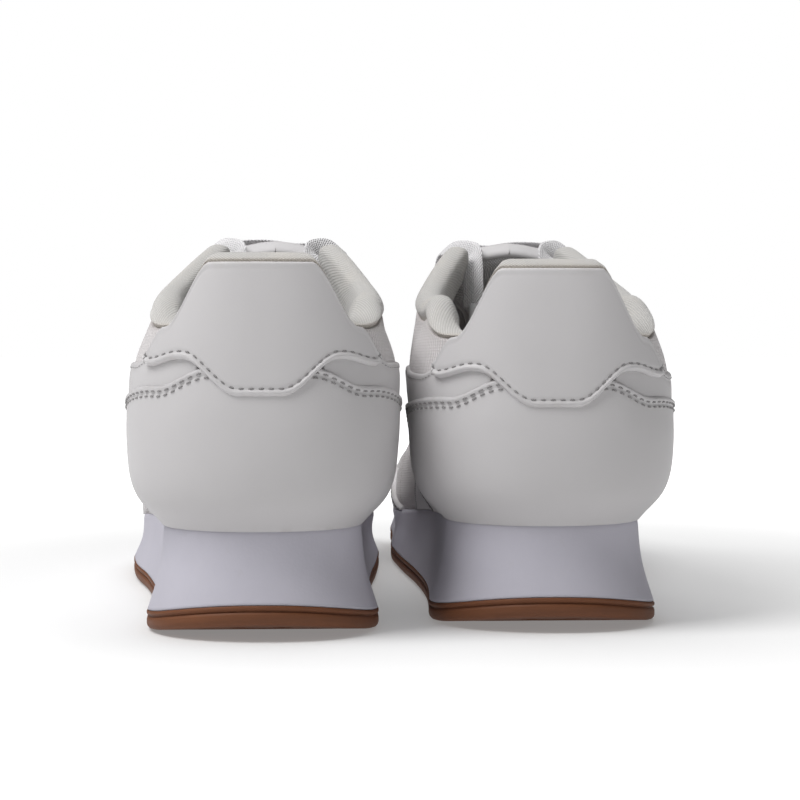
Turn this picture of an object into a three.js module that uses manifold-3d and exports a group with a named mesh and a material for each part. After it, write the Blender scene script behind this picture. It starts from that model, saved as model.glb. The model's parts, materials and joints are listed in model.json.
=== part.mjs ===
// A pair of low cheer and training shoes, size EU 38, standing side by side.
// Millimetres, +Z up, toes towards +Y. The origin is the bottom centre of the pair.
import * as THREE from "three";
import Module from "manifold-3d";

const wasm = await Module();
wasm.setup();

// ---- Driving dimensions ----

// Distance between the middles of the two heels, and how far the right shoe stands in front.
const HEEL_SPACING = 83;
const RIGHT_AHEAD = 14;

// Stations run from the back of the heel (0) along one side (1 to 7) to the toe tip (8).
// The heel is a round cap about station 1 and the toe a round cap about station 7.
const LAST_SIDE = 7;
const TOE_TIP = 8;
const STATION_Y = [36, 75, 115, 150, 185, 205, 235];
const SPINE_X = [0, 1, 3, 5, 5.5, 4, 0];
const HEEL_SQUARENESS = 2.25;
const TOE_SQUARENESS = 2.15;

// The upper at each station, from the sole edge to the rim: [distance from the spine, height].
const UPPER = [
  [[30, 30], [36, 41], [38, 56], [36, 76], [31, 105]],
  [[27, 30], [35.5, 41], [37, 56], [35.5, 74], [30, 88]],
  [[28, 28], [34.5, 38], [36, 52], [34, 70], [30, 86]],
  [[31, 25], [35, 34], [35, 52], [29, 80], [17, 112]],
  [[36, 22], [39, 30], [37, 48], [28, 72], [13, 94]],
  [[39.5, 19], [41.3, 27], [38, 44], [26, 62], [10, 73]],
  [[40, 18], [40.8, 26], [36.5, 41], [22, 56], [0, 63]],
  [[35, 19], [36, 27], [32, 38], [19, 49], [0, 52]],
  [[36, 22], [37, 30], [33, 38], [19, 47], [0, 52]],
];
const KNOTS = 4;
const UPPER_ROWS = 6;
const BACK_RIM = 105;
const COLLAR_DIP = 88;

// The sole: half widths at the stations, thickness, heel bevel and toe spring.
const OUTSOLE_WIDTH = [35, 32, 32, 36, 41.5, 44.3, 42.5, 37.5, 40.5];
const OUTSOLE_THICK = 5.3;
const EDGE_BEVEL = 1.2;
const HEEL_BEVEL_Y = 35;
const HEEL_LIFT = 5;
const TOE_SPRING_Y = 205;
const TOE_SPRING = 12;
const TOE_END_Y = 275;
const MIDSOLE_LIP = 1.2;
const BOARD_THICK = 1.5;
const SOCKLINER_THICK = 4;

// Gaps between pieces, and where each layer lies from the face of the quarters.
const GAP = 0.35;
const SEAM = 0.008;
const QUARTER_LAYER = [-1.5, 0];
const OVERLAY_LAYER = [1.1, 2.4];
const COUNTER_LAYER = [-3.7, -2.2];
const PUFF_LAYER = [-3, -2];

// The collar roll and the tongue.
const COLLAR_FRONT = 2.6;
const ROLL_DEPTH = 11;
const LINING_THICK = 1.2;
const LINING_BOTTOM = 40;
const TONGUE_STEPS = [5.1, 4.6, 4.2, 3.8, 3.4, 3.05];
const TONGUE_RISE = 6;
const TONGUE_LEAN = -4;
const TONGUE_LAYERS = { shell: [-1.2, 0], foam: [-5.8, -1.7], lining: [-7.3, -6.3] };

// The lace, a flat weave 7 mm wide.
const EYELET_PAIRS = 6;
const FIRST_EYELET = 4.95;
const LAST_EYELET = 3.12;
const EYELET_V = 0.93;
const LACE_WIDTH = 7;
const LACE_THICK = 1.2;
const LACE_RIDE = 5;
const LACE_TUCK = 15.8;
const AGLET_RADIUS = 1.6;
const AGLET_LENGTH = 20;

// ---- Curves ----

const clamp = THREE.MathUtils.clamp;
const smooth = THREE.MathUtils.smoothstep;

// A curve through evenly spaced values; past its ends it mirrors itself or runs straight on.
function spline(values, x, mirrored = false) {
  const last = values.length - 1;
  const i = Math.min(Math.floor(x), last - 1);
  const u = x - i;
  const at = (k) => {
    const end = k < 0 ? 0 : last;
    const inside = k < 0 ? -k : 2 * last - k;
    if (k >= 0 && k <= last) return values[k];
    return mirrored ? values[inside] : 2 * values[end] - values[inside];
  };
  const [a, b, c, d] = [at(i - 1), at(i), at(i + 1), at(i + 2)];
  return b + 0.5 * u * (c - a + u * (2 * a - 5 * b + 4 * c - d + u * (3 * (b - c) + d - a)));
}

// The middle of the shoe in plan at station t.
function spine(t) {
  const along = clamp(Math.abs(t), 1, LAST_SIDE) - 1;
  return [spline(SPINE_X, along), spline(STATION_Y, along)];
}

// The point at distance rho from the spine at station t: positive t is the outer side.
function place(t, rho, z) {
  const s = Math.abs(t);
  const side = t < 0 ? -1 : 1;
  const turned = Math.min(s, 1) + Math.max(s - LAST_SIDE, 0);
  const sin = Math.abs(Math.sin((turned * Math.PI) / 2));
  const cos = Math.cos((turned * Math.PI) / 2);
  const n = s < 1 ? HEEL_SQUARENESS : TOE_SQUARENESS;
  const r = rho * Math.pow(Math.pow(Math.abs(cos), n) + Math.pow(sin, n), -1 / n);
  const [x, y] = spine(t);
  return new THREE.Vector3(x + side * r * sin, y - r * cos, z);
}

// Distance from the spine and height of the upper at station t, v from 0 (sole) to 1 (rim).
function profile(t, v) {
  const s = Math.abs(t);
  const knots = [0, 1, 2, 3, 4].map((k) =>
    [0, 1].map((axis) => spline(UPPER.map((p) => p[k][axis]), s, true)),
  );
  if (s > LAST_SIDE) knots[KNOTS] = UPPER[LAST_SIDE][KNOTS];
  const [rho, z] = [0, 1].map((axis) => spline(knots.map((k) => k[axis]), KNOTS * v));
  return [Math.max(rho, 0), z];
}

function upper(t, v) {
  return place(t, ...profile(t, v));
}

// The v at which the upper reaches height z at station t.
function reach(t, z) {
  let low = 0;
  let high = 1;
  for (let i = 0; i < 30; i++) {
    const mid = (low + high) / 2;
    if (profile(t, mid)[1] < z) low = mid;
    else high = mid;
  }
  return (low + high) / 2;
}

// Height of the rim: full height at the back, dipping beside the heel tab.
function rim(t) {
  const s = Math.abs(t);
  const own = profile(t, 1)[1];
  if (s >= 1) return own;
  const dipped = BACK_RIM - (BACK_RIM - COLLAR_DIP) * smooth(s, 0.36, 0.6);
  return Math.min(own, dipped);
}

// Height of the sole edge of the upper.
function soleLine(t) {
  return profile(t, 0)[1];
}

// Height of the ground face of the outsole at y.
function ground(y) {
  const heel = clamp((HEEL_BEVEL_Y - y) / HEEL_BEVEL_Y, 0, 1);
  const toe = clamp((y - TOE_SPRING_Y) / (TOE_END_Y - TOE_SPRING_Y), 0, 1);
  return HEEL_LIFT * heel * heel + TOE_SPRING * toe * toe;
}

// ---- Solids ----

function steps(from, to, count) {
  return Array.from({ length: count + 1 }, (_, i) => from + ((to - from) * i) / count);
}

// Stations sampled for the pieces of the heel, one side, closer where the collar dips.
const HEEL_STEPS = [0.18, 0.36, 0.44, 0.53, 0.62, 0.72, 0.86, 1];
const SIDE_STEPS = [1.5, 2, 2.5, 3, 3.5, 4, 4.5, 5, 5.5, 6, 6.5, 7, 7.33, 7.67, 8];

function stationsBetween(from, to) {
  const grid = [...HEEL_STEPS, ...SIDE_STEPS];
  return [from, ...grid.filter((t) => t > from + 3 * SEAM && t < to - 3 * SEAM), to];
}

// The same stations on both sides, from -to round the heel to +to.
function aroundHeel(to) {
  const half = stationsBetween(0, to);
  return [...half.slice(1).reverse().map((t) => -t), ...half];
}

// From one side round the toe to the other.
function aroundToe(from) {
  const half = stationsBetween(from, TOE_TIP);
  return [...half, ...half.slice(0, -1).reverse().map((t) => -t)];
}

function solidMesh(positions, faces) {
  const geometry = new THREE.BufferGeometry();
  geometry.setAttribute("position", new THREE.Float32BufferAttribute(positions, 3));
  let volume = 0;
  const corner = (i) => new THREE.Vector3().fromArray(positions, 3 * i);
  for (const [a, b, c] of faces) volume += corner(a).dot(corner(b).cross(corner(c)));
  geometry.setIndex(faces.flatMap(([a, b, c]) => (volume < 0 ? [a, c, b] : [a, b, c])));
  geometry.computeVertexNormals();
  return geometry;
}

// Numbers the points of a grid, giving points that coincide one number.
function weld(rows) {
  const seen = new Map();
  const points = [];
  const ids = rows.map((row) =>
    row.map((p) => {
      const key = p.toArray().map((c) => Math.round(c * 1000)).join();
      if (!seen.has(key)) seen.set(key, points.push(p) - 1);
      return seen.get(key);
    }),
  );
  return { ids, points };
}

// Triangles of a grid of point numbers, without the ones that have no area.
function gridFaces(ids) {
  const faces = [];
  for (let i = 0; i + 1 < ids.length; i++) {
    for (let j = 0; j + 1 < ids[i].length; j++) {
      const [a, b] = [ids[i][j], ids[i + 1][j]];
      const [c, d] = [ids[i + 1][j + 1], ids[i][j + 1]];
      faces.push([a, b, c], [a, c, d]);
    }
  }
  return faces.filter(([a, b, c]) => a !== b && b !== c && c !== a);
}

// Edges that only one triangle uses, in that triangle's direction.
function openEdges(faces) {
  const used = new Map();
  for (const [a, b, c] of faces) {
    for (const [from, to] of [[a, b], [b, c], [c, a]]) {
      const key = Math.min(from, to) + "_" + Math.max(from, to);
      used.set(key, [...(used.get(key) || []), [from, to]]);
    }
  }
  return [...used.values()].filter((list) => list.length === 1).map((list) => list[0]);
}

// A closed solid from layers of points that share one set of faces.
function layered(layers, faces) {
  const count = layers[0].length;
  const top = count * (layers.length - 1);
  const all = faces.map((f) => [...f]);
  for (const [a, b, c] of faces) all.push([a + top, c + top, b + top]);
  for (const [a, b] of openEdges(faces)) {
    for (let level = 0; level < top; level += count) {
      const [p, q] = [a + level, b + level];
      all.push([p, p + count, q], [q, p + count, q + count]);
    }
  }
  return solidMesh(layers.flat().flatMap((p) => p.toArray()), all);
}

function normalsOf(points, faces) {
  const normals = points.map(() => new THREE.Vector3());
  for (const face of faces) {
    const [a, b, c] = face.map((i) => points[i]);
    const normal = b.clone().sub(a).cross(c.clone().sub(a));
    face.forEach((i) => normals[i].add(normal));
  }
  return normals.map((n) => n.normalize());
}

// A sheet of even thickness on a grid of points, from layer[0] to layer[1] off the grid.
function sheet(rows, layer) {
  const { ids, points } = weld(rows);
  const faces = gridFaces(ids);
  const normals = normalsOf(points, faces);
  const shifted = layer.map((d) => points.map((p, i) => p.clone().addScaledVector(normals[i], d)));
  return layered(shifted, faces);
}

// A panel of the upper over the stations ts, between the heights v low(t) and v high(t).
function panel(ts, low, high, count, layer) {
  const rows = ts.map((t) => steps(low(t), high(t), count).map((v) => upper(t, v)));
  return sheet(rows, layer);
}

// A tube of one cross-section, given as a ring of points at each step.
function loft(rings) {
  const size = rings[0].length;
  const cap = THREE.ShapeUtils.triangulateShape(flatten(rings[0]), []);
  const last = size * (rings.length - 1);
  const faces = [];
  for (const [a, b, c] of cap) faces.push([a, b, c], [a + last, c + last, b + last]);
  const turned = ringTurn(cap, size);
  for (let i = 0; i < last; i += size) {
    for (let j = 0; j < size; j++) {
      const k = (j + 1) % size;
      const [a, b, c, d] = [i + j, i + k, i + k + size, i + j + size];
      if (turned) faces.push([a, d, b], [b, d, c]);
      else faces.push([a, b, d], [b, c, d]);
    }
  }
  return solidMesh(rings.flat().flatMap((p) => p.toArray()), faces);
}

// The ring's own plane, as 2-D points.
function flatten(ring) {
  const across = ring[1].clone().sub(ring[0]).normalize();
  const normal = new THREE.Vector3();
  ring.forEach((p, i) => normal.add(p.clone().cross(ring[(i + 1) % ring.length])));
  const up = normal.normalize().cross(across);
  return ring.map((p) => new THREE.Vector2(p.dot(across), p.dot(up)));
}

// Whether the cap's triangles run along the ring, so that the sides run against it.
function ringTurn(cap, size) {
  return cap.some((f) => f.some((a, i) => f[(i + 1) % 3] === (a + 1) % size));
}

// ---- The sole ----

// Rows of points across the shoe, from the outer side to the inner side, heel to toe.
function across(width, height) {
  return [0, ...stationsBetween(0, TOE_TIP).slice(1)].map((t) => {
    const rho = width(t);
    const [outer, inner] = [place(t, rho, 0), place(-t, rho, 0)];
    return [0, 1].map((w) => {
      const p = outer.clone().lerp(inner, w);
      p.z = height(p.y, t);
      return p;
    });
  });
}

function slab(levels) {
  const { ids } = weld(across(...levels[0]));
  const layers = levels.map(([width, height]) => {
    const points = [];
    across(width, height).forEach((row, i) => row.forEach((p, j) => (points[ids[i][j]] = p)));
    return points;
  });
  return layered(layers, gridFaces(ids));
}

const outsoleWidth = (t) => spline(OUTSOLE_WIDTH, Math.abs(t), true);
const lastWidth = (t) => profile(t, 0)[0];

function outsole() {
  return slab([
    [(t) => outsoleWidth(t) - EDGE_BEVEL, (y) => ground(y)],
    [outsoleWidth, (y) => ground(y) + EDGE_BEVEL],
    [outsoleWidth, (y) => ground(y) + OUTSOLE_THICK],
  ]);
}

function midsole() {
  return slab([
    [(t) => outsoleWidth(t) - GAP, (y) => ground(y) + OUTSOLE_THICK + GAP],
    [(t) => lastWidth(t) + MIDSOLE_LIP, (y, t) => soleLine(t) - GAP],
  ]);
}

function strobelBoard() {
  const width = (t) => lastWidth(t) - 2.6;
  return slab([
    [width, (y, t) => soleLine(t) + GAP],
    [width, (y, t) => soleLine(t) + GAP + BOARD_THICK],
  ]);
}

function sockliner() {
  const start = 2 * GAP + BOARD_THICK;
  return slab([
    [(t) => lastWidth(t) - 4.4, (y, t) => soleLine(t) + start],
    [(t) => lastWidth(t) - 3.8, (y, t) => soleLine(t) + start + SOCKLINER_THICK],
  ]);
}

// ---- The upper ----

const rimV = (t) => reach(t, rim(t));

// The stations of one side, in the order that keeps the panel's face outwards.
function sideStations(from, to, side) {
  const ts = stationsBetween(from, to);
  return side > 0 ? ts : ts.map((t) => -t).reverse();
}

function quarter(side) {
  return panel(sideStations(SEAM, 5, side), () => 0, rimV, UPPER_ROWS, QUARTER_LAYER);
}

function vamp() {
  return panel(aroundToe(5 + 2 * SEAM), () => 0, () => 1, UPPER_ROWS, QUARTER_LAYER);
}

// Lower edge of the heel tab: low at the back, high beside it, a little lower at its front.
function tabEdge(t) {
  const s = Math.abs(t);
  const rise = 67.8 + 10.2 * smooth(s, 0.12, 0.42);
  return rise - 2.7 * smooth(s, 0.44, 0.68);
}

// Upper edge of the heel foxing, from under the tab down to the midsole in front.
function foxingEdge(t) {
  const s = Math.abs(t);
  const high = Math.min(tabEdge(t) - 1.2, 75);
  const falling = high - 9 * smooth(s, 0.4, 1.3);
  return falling - 34 * smooth(s, 1.3, 2.4);
}

function heelTab() {
  const low = (t) => reach(t, tabEdge(t));
  const high = (t) => reach(t, Math.min(rim(t), BACK_RIM - 24 * smooth(Math.abs(t), 0.36, 0.72)));
  return panel(aroundHeel(0.72), low, high, 3, OVERLAY_LAYER);
}

function heelFoxing() {
  const low = (t) => reach(t, soleLine(t) + 5 * GAP);
  return panel(aroundHeel(2.2), low, (t) => reach(t, foxingEdge(t)), 4, OVERLAY_LAYER);
}

function sidePanel(side) {
  const underTab = (t) => (Math.abs(t) < 0.74 ? tabEdge(t) - 0.6 : COLLAR_DIP - 8);
  const band = (t) => foxingEdge(t) + 2 + 16 * smooth(Math.abs(t), 0.5, 2.2);
  const low = (t) => reach(t, Math.max(foxingEdge(t) + 0.8, soleLine(t) + 8));
  const high = (t) => reach(t, Math.min(band(t), underTab(t)));
  return panel(sideStations(0.42, 3, side), low, high, 2, OVERLAY_LAYER);
}

function heelCounter() {
  const high = (t) => reach(t, 72 - 16 * smooth(Math.abs(t), 0.25, 0.7));
  return panel(aroundHeel(1.5), (t) => reach(t, soleLine(t) + 4), high, 4, COUNTER_LAYER);
}

function toeOverlay() {
  return panel(aroundToe(5.5), () => 0.04, () => 2 / UPPER_ROWS, 2, OVERLAY_LAYER);
}

function toePuff() {
  return panel(aroundToe(7), () => 1 / UPPER_ROWS, () => 3 / UPPER_ROWS, 2, PUFF_LAYER);
}

function eyestay(side) {
  return panel(sideStations(3, 5, side), () => 1 - 1 / UPPER_ROWS, () => 1, 1, OVERLAY_LAYER);
}

// ---- The padded collar ----

// A point inside the upper, out mm beyond the quarter's face at height z.
function within(t, z, out) {
  const rho = profile(t, reach(t, Math.min(z, rim(t))))[0];
  return place(t, rho + out, z);
}

// How deep the roll stands into the shoe: it thins towards the front of the collar.
function rollDepth(t) {
  return ROLL_DEPTH - 3.5 * smooth(Math.abs(t), 1.6, COLLAR_FRONT);
}

function collarFoam() {
  const rings = aroundHeel(COLLAR_FRONT - 0.25).map((t) => {
    const top = rim(t);
    const deep = rollDepth(t) - LINING_THICK - 4 * GAP;
    return [
      within(t, top + 0.2, -3),
      within(t, top - 14, -2.6),
      within(t, top - 20, -3.1),
      within(t, top - 13, -deep + 0.8),
      within(t, top - 5, -deep),
      within(t, top + 0.2, -deep + 1.6),
    ];
  });
  return loft(rings);
}

function collarLining() {
  const rings = aroundHeel(COLLAR_FRONT).map((t) => {
    const top = rim(t);
    const deep = rollDepth(t);
    const face = [
      [LINING_BOTTOM, -6.2],
      [top - 22, -6.6],
      [top - 13, -deep + 0.6],
      [top - 5, -deep],
      [top + 1.6, -deep + 1.4],
      [top + 2.4, -deep / 2],
      [top + 1.6, -1.2],
    ];
    const back = face.map(([z, out], i) => {
      const drop = i < 4 ? 0 : LINING_THICK;
      const shift = i < 4 ? LINING_THICK : i === 4 ? 1 : 0;
      return within(t, z - drop, out + shift);
    });
    return [...face.map(([z, out]) => within(t, z, out)), ...back.reverse()];
  });
  return loft(rings);
}

// ---- The tongue ----

// Half of the tongue's face across the throat at station t, from its middle outwards.
function tongueHalf(t) {
  const [hw, top] = profile(t, 1);
  const under = [0, 0.04, 0.08].map((d) => profile(t, 1 - d));
  return [[0, top + 0.3], [0.4 * hw, top - 0.6], ...under.map(([rho, z]) => [rho - 5, z - 3.6])];
}

function tongueRow(t, rise) {
  const half = tongueHalf(t);
  const lift = new THREE.Vector3(0, (TONGUE_LEAN * rise) / TONGUE_RISE, rise);
  const outer = half.map(([rho, z]) => place(t, rho, z).add(lift));
  const inner = half.slice(1).map(([rho, z]) => place(-t, rho, z).add(lift));
  return [...inner.reverse(), ...outer];
}

// One layer of the tongue: the padded layers start above its sewn root.
function tongueSheet(padded, layer) {
  const rows = TONGUE_STEPS.map((t) => tongueRow(t, 0));
  rows.push(tongueRow(TONGUE_STEPS.at(-1), TONGUE_RISE));
  return sheet(padded ? rows.slice(1) : rows, layer);
}

function tongueBinding() {
  const edge = tongueRow(TONGUE_STEPS.at(-1), TONGUE_RISE + 3).slice(1, -1);
  const down = new THREE.Vector3(0, -0.55, -0.84);
  const rings = edge.map((p, i) => {
    const before = edge[Math.max(i - 1, 0)];
    const after = edge[Math.min(i + 1, edge.length - 1)];
    const run = after.clone().sub(before).normalize();
    const inward = down.clone().addScaledVector(run, -down.dot(run)).normalize();
    const upward = new THREE.Vector3().crossVectors(run, inward);
    return steps(0, 5, 5).map((k) => {
      const a = (k * Math.PI) / 3;
      const ring = p.clone().addScaledVector(inward, 3.4 - 3.6 * Math.cos(a));
      return ring.addScaledVector(upward, 1.3 * Math.sin(a));
    });
  });
  return loft(rings);
}

// ---- The lace ----

function throatNormal(t) {
  const d = 0.05;
  const [a, b] = [profile(t - d, 1)[1], profile(t + d, 1)[1]];
  const run = new THREE.Vector3(0, spine(t + d)[1] - spine(t - d)[1], b - a).normalize();
  return new THREE.Vector3(1, 0, 0).cross(run);
}

function surfaceNormal(t, v) {
  const d = 0.02;
  const run = upper(t + d, v).sub(upper(t - d, v));
  const rise = upper(t, v + d).sub(upper(t, v - d));
  return run.cross(rise).normalize();
}

function eyelet(index, side) {
  const t = FIRST_EYELET + ((LAST_EYELET - FIRST_EYELET) * index) / (EYELET_PAIRS - 1);
  const signed = side * t;
  const normal = surfaceNormal(signed, EYELET_V);
  return { t: signed, normal, point: upper(signed, EYELET_V).addScaledVector(normal, LACE_RIDE) };
}

// A flat ribbon through points, each with the direction its face looks in.
function ribbon(stops, width, thick) {
  const rings = stops.map(({ point, normal }, i) => {
    const before = stops[Math.max(i - 1, 0)].point;
    const after = stops[Math.min(i + 1, stops.length - 1)].point;
    const run = after.clone().sub(before).normalize();
    const wide = run.cross(normal).normalize().multiplyScalar(width / 2);
    const deep = normal.clone().multiplyScalar(thick / 2);
    return [[1, 1], [-1, 1], [-1, -1], [1, -1]].map(([w, d]) =>
      point.clone().addScaledVector(wide, w).addScaledVector(deep, d),
    );
  });
  return loft(rings);
}

// The lace where it passes over the edge of the throat at station t.
function overEdge(t) {
  const normal = surfaceNormal(t, 0.96);
  return { point: upper(t, 1).addScaledVector(normal, LACE_RIDE), normal };
}

// A run of lace from one eyelet over the tongue to another; rise lifts it over the other run.
function crossing(from, to, rise) {
  const t = (Math.abs(from.t) + Math.abs(to.t)) / 2;
  const nearer = (end) => Math.sign(end.t) * (0.7 * Math.abs(end.t) + 0.3 * t);
  const [x, y] = spine(t);
  const crown = profile(t, 1)[1] + LACE_RIDE + rise;
  const middle = { point: new THREE.Vector3(x, y, crown), normal: throatNormal(t) };
  const stops = [from, overEdge(nearer(from)), middle, overEdge(nearer(to)), to];
  return ribbon(stops, LACE_WIDTH, LACE_THICK);
}

// The end of the lace: from the top eyelet over the edge and down inside beside the tongue.
function laceEnd(side) {
  const top = eyelet(EYELET_PAIRS - 1, side);
  const edge = overEdge(side * 3.06);
  const aside = new THREE.Vector3(side, 0, 0);
  const [x] = spine(LAST_EYELET);
  const at = (dx, y, z) => new THREE.Vector3(x + side * dx, y, z);
  const turning = (share) => edge.normal.clone().lerp(aside, share).normalize();
  return [
    top,
    edge,
    { point: at(LACE_TUCK, 111.5, 117.5), normal: turning(0.35) },
    { point: at(LACE_TUCK, 108, 110), normal: turning(0.8) },
    { point: at(LACE_TUCK, 106, 103), normal: aside },
    { point: at(LACE_TUCK, 105.5, 94), normal: aside },
  ];
}

// A closed geometry as a solid for joining.
function asManifold(geometry) {
  return new wasm.Manifold(
    new wasm.Mesh({
      numProp: 3,
      vertProperties: new Float32Array(geometry.attributes.position.array),
      triVerts: new Uint32Array(geometry.index.array),
    }),
  );
}

function joined(geometries) {
  const solid = geometries.map(asManifold).reduce((whole, next) => whole.add(next));
  const mesh = solid.getMesh();
  const geometry = new THREE.BufferGeometry();
  const positions = new Float32Array(mesh.vertProperties);
  geometry.setAttribute("position", new THREE.BufferAttribute(positions, 3));
  geometry.setIndex(new THREE.BufferAttribute(new Uint32Array(mesh.triVerts), 1));
  return geometry;
}

function lace() {
  const runs = [crossing(eyelet(0, -1), eyelet(0, 1), 0)];
  for (const side of [-1, 1]) {
    for (let k = 0; k + 1 < EYELET_PAIRS; k++) {
      const rise = side > 0 ? 0 : LACE_THICK + GAP;
      runs.push(crossing(eyelet(k, side), eyelet(k + 1, -side), rise));
    }
    runs.push(ribbon(laceEnd(side), LACE_WIDTH, LACE_THICK));
  }
  return joined(runs);
}

function aglet(side) {
  const end = laceEnd(side).at(-1).point;
  const geometry = new THREE.CylinderGeometry(AGLET_RADIUS, AGLET_RADIUS * 0.8, AGLET_LENGTH, 8);
  geometry.rotateX(Math.PI / 2);
  geometry.translate(end.x, end.y, end.z - GAP - AGLET_LENGTH / 2);
  return geometry;
}

// A small loop of tape on the tongue that keeps the lace in the middle.
function laceKeeper() {
  const t = (FIRST_EYELET + 4 * LAST_EYELET) / 5 + 0.03;
  const rows = [t + 0.09, t - 0.09].map((s) => tongueRow(s, 0).slice(3, 6));
  return sheet(rows, [0.35, 1.1]);
}

// ---- Materials ----

function material(color, roughness) {
  return new THREE.MeshStandardMaterial({ color, roughness, metalness: 0 });
}

const LEATHER = material(0xe4e4e2, 0.5);
const MESH = material(0xe9e2e0, 0.9);
const TEXTILE = material(0xd2d2cc, 0.95);
const FOAM = material(0xc9bfa0, 1);
const EVA = material(0xdcdae2, 0.75);
const GUM = material(0x8a5434, 0.6);
const BOARD = material(0xb8a888, 0.9);
const WEBBING = material(0xf0f0ee, 0.9);
const PLASTIC = material(0xf2f2f2, 0.35);

// ---- Assembly ----

const PIECES = {
  outsole: [outsole, GUM],
  midsole: [midsole, EVA],
  strobel_board: [strobelBoard, BOARD],
  sockliner: [sockliner, TEXTILE],
  vamp: [vamp, MESH],
  heel_foxing: [heelFoxing, LEATHER],
  heel_tab: [heelTab, LEATHER],
  heel_counter: [heelCounter, BOARD],
  toe_overlay: [toeOverlay, LEATHER],
  toe_puff: [toePuff, BOARD],
  collar_foam: [collarFoam, FOAM],
  collar_lining: [collarLining, TEXTILE],
  tongue_shell: [() => tongueSheet(false, TONGUE_LAYERS.shell), LEATHER],
  tongue_foam: [() => tongueSheet(true, TONGUE_LAYERS.foam), FOAM],
  tongue_lining: [() => tongueSheet(true, TONGUE_LAYERS.lining), TEXTILE],
  tongue_binding: [tongueBinding, LEATHER],
  lace_keeper: [laceKeeper, WEBBING],
  lace: [lace, WEBBING],
  aglet_lateral: [() => aglet(1), PLASTIC],
  aglet_medial: [() => aglet(-1), PLASTIC],
};

// Pieces that have one copy on each side of the shoe.
const PAIRED = {
  quarter: [quarter, MESH],
  side_panel: [sidePanel, LEATHER],
  eyestay: [eyestay, LEATHER],
};

function named(name, geometry, finish) {
  const mesh = new THREE.Mesh(geometry, finish);
  mesh.name = name;
  return mesh;
}

function shoe(suffix) {
  const group = new THREE.Group();
  for (const [name, [make, finish]] of Object.entries(PIECES)) {
    group.add(named(name + suffix, make(), finish));
  }
  for (const [name, [make, finish]] of Object.entries(PAIRED)) {
    group.add(named(name + "_lateral" + suffix, make(1), finish));
    group.add(named(name + "_medial" + suffix, make(-1), finish));
  }
  return group;
}

const right = shoe("_right");
right.position.set(HEEL_SPACING / 2, RIGHT_AHEAD, 0);
const left = shoe("_left");
left.position.x = -HEEL_SPACING / 2;
left.scale.x = -1;

const pair = new THREE.Group();
pair.add(right, left);
const extent = new THREE.Box3().setFromObject(pair, true);
pair.position.y = -(extent.min.y + extent.max.y) / 2;

export default pair;
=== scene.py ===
# %% [markdown]
# # A pair of cheer shoes
# White low shoes of the jogger kind: a foam wedge on a gum rubber outsole, smooth panels round the
# heel over a ribbed mesh, and a padded collar and tongue. The frame (sizes, bodies, joints) is
# loaded first, and every piece below is made in that frame.

# %% Load the frame
import json
import math
import bpy
import bmesh
import numpy as np
from mathutils import Matrix, Vector


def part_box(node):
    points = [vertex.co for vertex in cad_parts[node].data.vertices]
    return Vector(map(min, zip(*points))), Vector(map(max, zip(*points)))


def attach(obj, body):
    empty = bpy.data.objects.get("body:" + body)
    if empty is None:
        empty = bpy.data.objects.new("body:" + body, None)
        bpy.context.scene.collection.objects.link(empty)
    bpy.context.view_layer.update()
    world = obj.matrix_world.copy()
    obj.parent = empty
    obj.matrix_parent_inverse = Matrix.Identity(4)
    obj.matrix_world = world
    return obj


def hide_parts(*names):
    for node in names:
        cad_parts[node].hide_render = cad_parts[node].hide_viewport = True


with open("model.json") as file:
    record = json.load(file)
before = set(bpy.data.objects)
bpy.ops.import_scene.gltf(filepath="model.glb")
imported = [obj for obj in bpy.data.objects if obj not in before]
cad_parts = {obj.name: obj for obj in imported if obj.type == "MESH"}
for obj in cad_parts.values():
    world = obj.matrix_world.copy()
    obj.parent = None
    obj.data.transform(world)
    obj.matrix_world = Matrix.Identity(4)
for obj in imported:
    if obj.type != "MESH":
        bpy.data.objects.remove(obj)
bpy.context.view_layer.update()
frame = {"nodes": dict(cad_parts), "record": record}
MM = 0.001
SIDES = ("right", "left")

# %% [markdown]
# ## Camera, light and floor
# The camera stands low behind the heels, a little to the left. A long lens keeps the two heels
# nearly the same size. The light is a big soft lamp from the upper left, a fill from above and a
# dim white room, so the white panels keep soft grey shading that shows their shape. The room looks
# white to the camera, whatever light it gives.

# %% Where each shoe stands
SOLE_BACK = 0.001
PLACE = {}
for side in SIDES:
    tab_corner, tab_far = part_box(f"heel_tab_{side}")
    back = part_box(f"outsole_{side}")[0].y - SOLE_BACK
    PLACE[side] = Vector(((tab_corner.x + tab_far.x) / 2, back, 0))
print("heels at", {side: tuple(round(c, 4) for c in spot) for side, spot in PLACE.items()})

# %% Camera
HEEL_BACK = PLACE["left"].y
CAMERA_DISTANCE = 0.569
CAMERA_HEIGHT = 0.0859
CAMERA_TURN = math.radians(-2.48)
CAMERA_PITCH = math.radians(-1.9)
CAMERA_SIDE = -0.0276
CAMERA_LENS = 93.0

camera_data = bpy.data.cameras.new("behind_the_heels")
camera_data.lens = CAMERA_LENS
camera = bpy.data.objects.new("behind_the_heels", camera_data)
bpy.context.scene.collection.objects.link(camera)
camera.location = (CAMERA_SIDE, HEEL_BACK - CAMERA_DISTANCE, CAMERA_HEIGHT)
camera.rotation_euler = (math.radians(90) + CAMERA_PITCH, 0, CAMERA_TURN)
bpy.context.scene.camera = camera
bpy.context.scene.view_settings.view_transform = "Standard"
print("camera", tuple(round(c, 3) for c in camera.location))


# %% Lamps and world
def lamp(name, place, aim, power, size):
    data = bpy.data.lights.new(name, "AREA")
    data.energy = power
    data.size = size
    item = bpy.data.objects.new(name, data)
    item.location = place
    item.rotation_euler = (Vector(aim) - Vector(place)).to_track_quat("-Z", "Y").to_euler()
    bpy.context.scene.collection.objects.link(item)


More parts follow.
